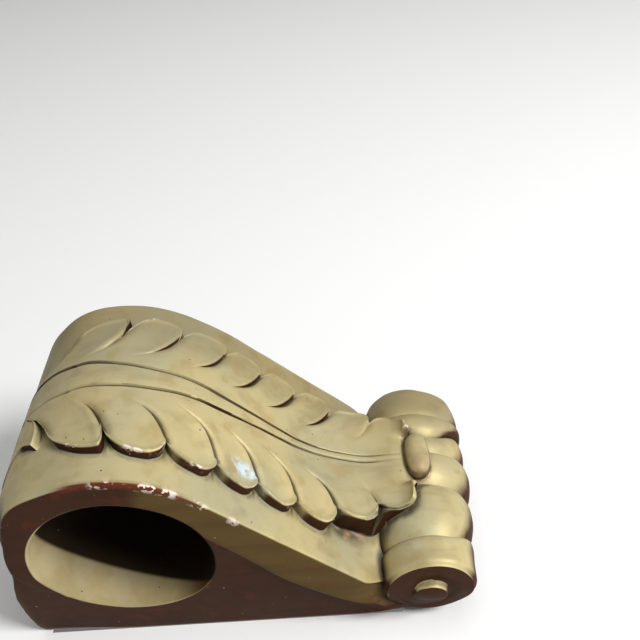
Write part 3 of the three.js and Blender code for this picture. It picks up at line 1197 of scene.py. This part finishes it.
@dataclass
class Corbel:
    """The whole casting."""

    outline: Outline = field(default_factory=Outline)
    paint: GoldPaint = field(default_factory=GoldPaint)
    rays: int = 20
    reach: float = 0.03
    waver: float = 0.00022
    band_depth: float = 6.0
    sharp: float = math.radians(50)

    def __post_init__(self) -> None:
        """Set out the parts that the finish goes by."""
        self.band = LeafBand(self.outline)
        self.curl = Curl(self.outline)

    def joined(self) -> bpy.types.Object:
        """Join the carved parts into one skin and cut the bore.

        Returns:
            The skin.
        """
        o = self.outline
        body = self.band.build()
        for other in (Web(o).build(), Roll(o).build(), self.curl.build()):
            self.combine(body, other, "UNION")
        self.combine(body, Bore(o).build(), "DIFFERENCE")
        return body

    def combine(self, body: bpy.types.Object, other: bpy.types.Object, operation: str) -> None:
        """Join or cut a body with another piece, which is then dropped.

        Args:
            body: The piece that is kept.
            other: The piece that is joined to it or cut from it.
            operation: The modifier's name for which.
        """
        modifier = body.modifiers.new("joint", "BOOLEAN")
        modifier.operation = operation
        modifier.object = other
        modifier.solver = "MANIFOLD"
        graph = bpy.context.evaluated_depsgraph_get()
        made = bpy.data.meshes.new_from_object(body.evaluated_get(graph))
        log.info("%s %s: %d faces", operation, other.name, len(made.polygons))
        body.modifiers.clear()
        body.data = made
        bpy.data.objects.remove(other)

    def settle(self, bm: bmesh.types.BMesh) -> None:
        """Let the surface waver a little, as a hand-finished casting does, but not on the wall.

        Args:
            bm: The skin.
        """
        bm.normal_update()
        for vert in bm.verts:
            depth = ease(-0.0005, -0.004, vert.co.y)
            swell = noise.noise(vert.co * 45) + 0.4 * noise.noise(vert.co * 130)
            vert.co += vert.normal * (self.waver * swell * depth)

    def occlusion_shade(self, bm: bmesh.types.BMesh) -> list[float]:
        """Cast rays over each vertex's hemisphere, for the painted shade in recesses.

        Args:
            bm: The skin.

        Returns:
            How enclosed each vertex is, which sets its painted shade.
        """
        tree = BVHTree.FromBMesh(bm)
        rng = random.Random(7)
        fan = []
        while len(fan) < self.rays:
            ray = Vector((rng.uniform(-1, 1), rng.uniform(-1, 1), rng.uniform(-1, 1)))
            if 0.1 < ray.length < 1:
                fan.append(ray.normalized())
        values = []
        for vert in bm.verts:
            start = vert.co + vert.normal * 0.0003
            hits = 0.0
            for ray in fan:
                way = (ray + vert.normal * 1.02).normalized()
                hit = tree.ray_cast(start, way, self.reach)
                if hit[0] is not None:
                    hits += 1 - hit[3] / self.reach
            values.append(hits / self.rays)
        return values

    def bend(self, bm: bmesh.types.BMesh) -> list[float]:
        """Measure how the surface bends at each vertex.

        Args:
            bm: The skin.

        Returns:
            Values above 0 in a hollow and below 0 on an edge.
        """
        values = []
        for vert in bm.verts:
            total = weight = 0.0
            for link in vert.link_edges:
                way = link.other_vert(vert).co - vert.co
                length = max(way.length, 1e-6)
                total += way.dot(vert.normal) / length
                weight += 1.0
            values.append(total / max(weight, 1.0))
        for _ in range(2):
            near = []
            for vert in bm.verts:
                links = vert.link_edges
                mean = sum(values[link.other_vert(vert).index] for link in links) / max(1, len(links))
                near.append(0.5 * values[vert.index] + 0.5 * mean)
            values = near
        return values

    def masks(self, vert: bmesh.types.BMVert, bent: float) -> dict[str, float]:
        """Work out what the finish goes by at one vertex.

        Args:
            vert: The vertex.
            bent: How the surface bends there.

        Returns:
            The value of each mask.
        """
        o, curl = self.outline, self.curl
        x, y, z = o.lying(vert.co)
        u, height = o.unfold(x, z)
        in_bore = math.hypot(x - o.head_x, z - o.head_z) < o.bore_r + 1.2
        on_band = height > -self.band_depth and not in_bore
        facing = max(0.0, -vert.normal.y)
        on_side = ease(0.9, 2.0, height + self.band.depth(u)) * ease(-0.1, -1.0, height)
        settled = ease(0.04, 0.2, bent) * ease(0.25, 0.6, facing) * (0.6 + 0.4 * ease(100, 70, u))
        grime = self.paint.grime.at(u, y, o.width) * ease(5.0, 2.0, height)
        on_arris = ease(1.3, 0.6, y) * ease(-1.8, -1.0, height) * ease(0.4, 0.0, height)
        off_curl = math.hypot(x - curl.x, z - curl.z) - curl.radius
        found = {
            "crease": max(0.0, bent),
            "lip": max(0.0, -bent),
            "strip": 0.0 if in_bore else on_side * ease(70, 104, u) * ease(196, 182, u),
            "dust": min(1.0, settled + grime),
            "arris": on_arris * ease(52, 62, u) * ease(108, 88, u) if on_band else 0.0,
            "bead": ease(0.7, 0.2, off_curl) * ease(curl.half + 1.5, curl.half, abs(y - o.width / 2)),
        }
        worn = (
            ("chips", self.paint.chips, max(ease(0.02, 0.10, -bent), on_arris)),
            ("smear", self.paint.smears, 1.0),
            ("stain", self.paint.stains, ease(1.6, 0.6, height)),
        )
        for name, marks, share in worn:
            found[name] = share * max(mark.at(u, y, o.width) for mark in marks) if on_band else 0.0
        return found

    def weather_and_shade(self, mesh: bpy.types.Mesh) -> None:
        """Settle the mesh, and keep at each vertex what the finish goes by, with the painted shade of
        recesses.

        Args:
            mesh: The skin's mesh.
        """
        bm = bmesh.new()
        bm.from_mesh(mesh)
        self.settle(bm)
        bm.verts.index_update()
        bm.normal_update()
        occlusion_shade = self.occlusion_shade(bm)
        found = [self.masks(vert, bent) for vert, bent in zip(bm.verts, self.bend(bm))]
        bm.to_mesh(mesh)
        bm.free()
        columns = {name: [row[name] for row in found] for name in found[0]}
        for name, values in {**columns, "occlusion_shade": occlusion_shade}.items():
            mesh.attributes.new(name, "FLOAT", "POINT").data.foreach_set("value", values)

    def build(self) -> bpy.types.Object:
        """Build, dress and place the corbel.

        Returns:
            The finished piece.
        """
        piece = self.joined()
        piece.name = "corbel_skin"
        mesh = piece.data
        mesh.name = "corbel_skin"
        self.weather_and_shade(mesh)
        mesh.materials.clear()
        mesh.materials.append(self.paint.material())
        mesh.shade_smooth()
        mesh.set_sharp_from_angle(angle=self.sharp)
        return piece


@dataclass(frozen=True)
class Studio:
    """A pale wall, a pale floor, soft light and the camera."""

    stage_size: float = 3.0
    opening: tuple[float, float, float, float] = (-0.0403, 0.0388, -0.0705, 0.0688)
    wall_gap: float = 0.0006
    floor_drop: float = 1.6
    pale: Triple = (0.9, 0.9, 0.89)
    matt: float = 0.9
    lamps: tuple[tuple[str, Triple, float, float], ...] = (
        ("key", (-0.43, -1.13, -0.89), 20.5, 0.5),
        ("overhead", (0.1, -1.65, 0.15), 9, 1.6),
        ("rear", (-0.6, 1.3, 0.5), 7, 0.8),
    )
    aim: Triple = (0, -0.04, 0)
    world_light: float = 0.16
    lens: float = 43.44
    eye: Triple = (-0.2024, -0.2833, -0.0481)
    right: Triple = (-0.0332, 0.0564, -0.9978)
    up: Triple = (0.6326, -0.7717, -0.0647)
    ahead: Triple = (0.7737, 0.6334, 0.0101)

    def sheet(self, name: str, turn: Matrix) -> bpy.types.Object:
        """Lay a flat sheet of the stage.

        Args:
            name: The sheet's name.
            turn: Where it is and how it is turned.

        Returns:
            The sheet, in pale paint.
        """
        bm = bmesh.new()
        bmesh.ops.create_grid(bm, x_segments=1, y_segments=1, size=self.stage_size)
        bmesh.ops.transform(bm, matrix=turn, verts=bm.verts)
        sheet = kept(bm, name)
        sheet.data.materials.append(self.paint(name + " paint"))
        return sheet

    def open_behind(self, wall: bpy.types.Object) -> None:
        """Open the wall behind the corbel's back, so that the back shows and is lit from behind.

        Args:
            wall: The wall's sheet.
        """
        x0, x1, z0, z1 = self.opening
        bm = bmesh.new()
        bm.from_mesh(wall.data)
        for place, way in ((x0, (1, 0, 0)), (x1, (1, 0, 0)), (z0, (0, 0, 1)), (z1, (0, 0, 1))):
            cut_across(bm, place, way)
        middle = [f for f in bm.faces if max(abs(c) for c in f.calc_center_median()) < 0.01]
        bmesh.ops.delete(bm, geom=middle, context="FACES")
        bm.to_mesh(wall.data)
        bm.free()

    def paint(self, name: str) -> bpy.types.Material:
        """Mix pale matt paint, clear from behind.

        Args:
            name: The material's name.

        Returns:
            The material.
        """
        material = bpy.data.materials.new(name)
        material.use_nodes = True
        g = Graph(material.node_tree)
        coat = g.tree.nodes["Principled BSDF"]
        g.feed(coat.inputs["Base Color"], (*self.pale, 1))
        g.feed(coat.inputs["Roughness"], self.matt)
        behind = g.put("ShaderNodeNewGeometry", {}).outputs["Backfacing"]
        clear = g.put("ShaderNodeBsdfTransparent", {}).outputs["BSDF"]
        mix = g.put("ShaderNodeMixShader", {0: behind, 1: coat.outputs["BSDF"], 2: clear})
        g.feed(g.tree.nodes["Material Output"].inputs["Surface"], mix.outputs["Shader"])
        return material

    def lamp(self, name: str, place: Triple, power: float, size: float) -> None:
        """Aim a soft round lamp at the corbel.

        Args:
            name: The lamp's name.
            place: Where it stands.
            power: Its power, in watts.
            size: How wide it is.
        """
        data = bpy.data.lights.new(name, "AREA")
        data.energy = power
        data.shape = "DISK"
        data.size = size
        lamp = linked(name, data)
        lamp.location = place
        lamp.rotation_mode = "QUATERNION"
        lamp.rotation_quaternion = (Vector(self.aim) - Vector(place)).to_track_quat("-Z", "Y")

    def camera(self) -> None:
        """Take the photograph's view of the corbel lying on its back, so the camera is rolled."""
        data = bpy.data.cameras.new("camera")
        data.lens = self.lens
        camera = linked("camera", data)
        turn = Matrix((self.right, self.up, -Vector(self.ahead))).transposed()
        camera.rotation_mode = "QUATERNION"
        camera.rotation_quaternion = turn.to_quaternion()
        camera.location = self.eye
        bpy.context.scene.camera = camera

    def build(self) -> None:
        """Set the stage."""
        upright = Matrix.Translation((0, self.wall_gap, 0)) @ Matrix.Rotation(math.pi / 2, 4, "X")
        self.open_behind(self.sheet("wall", upright))
        self.sheet("floor", Matrix.Translation((0, 0, -self.floor_drop)))
        for lamp in self.lamps:
            self.lamp(*lamp)
        world = bpy.data.worlds.new("studio")
        world.use_nodes = True
        background = world.node_tree.nodes["Background"]
        background.inputs["Color"].default_value = (1, 1, 1, 1)
        background.inputs["Strength"].default_value = self.world_light
        bpy.context.scene.world = world
        bpy.context.scene.view_settings.view_transform = "Standard"
        self.camera()


def main() -> None:
    """Build the corbel in the frame and set the stage."""
    logging.basicConfig(level=logging.INFO)
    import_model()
    corbel = Corbel().build()
    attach(corbel, "root")
    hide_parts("corbel")
    log.info("corbel: %d triangles", sum(len(p.vertices) - 2 for p in corbel.data.polygons))
    Studio().build()


if __name__ == "__main__":
    main()
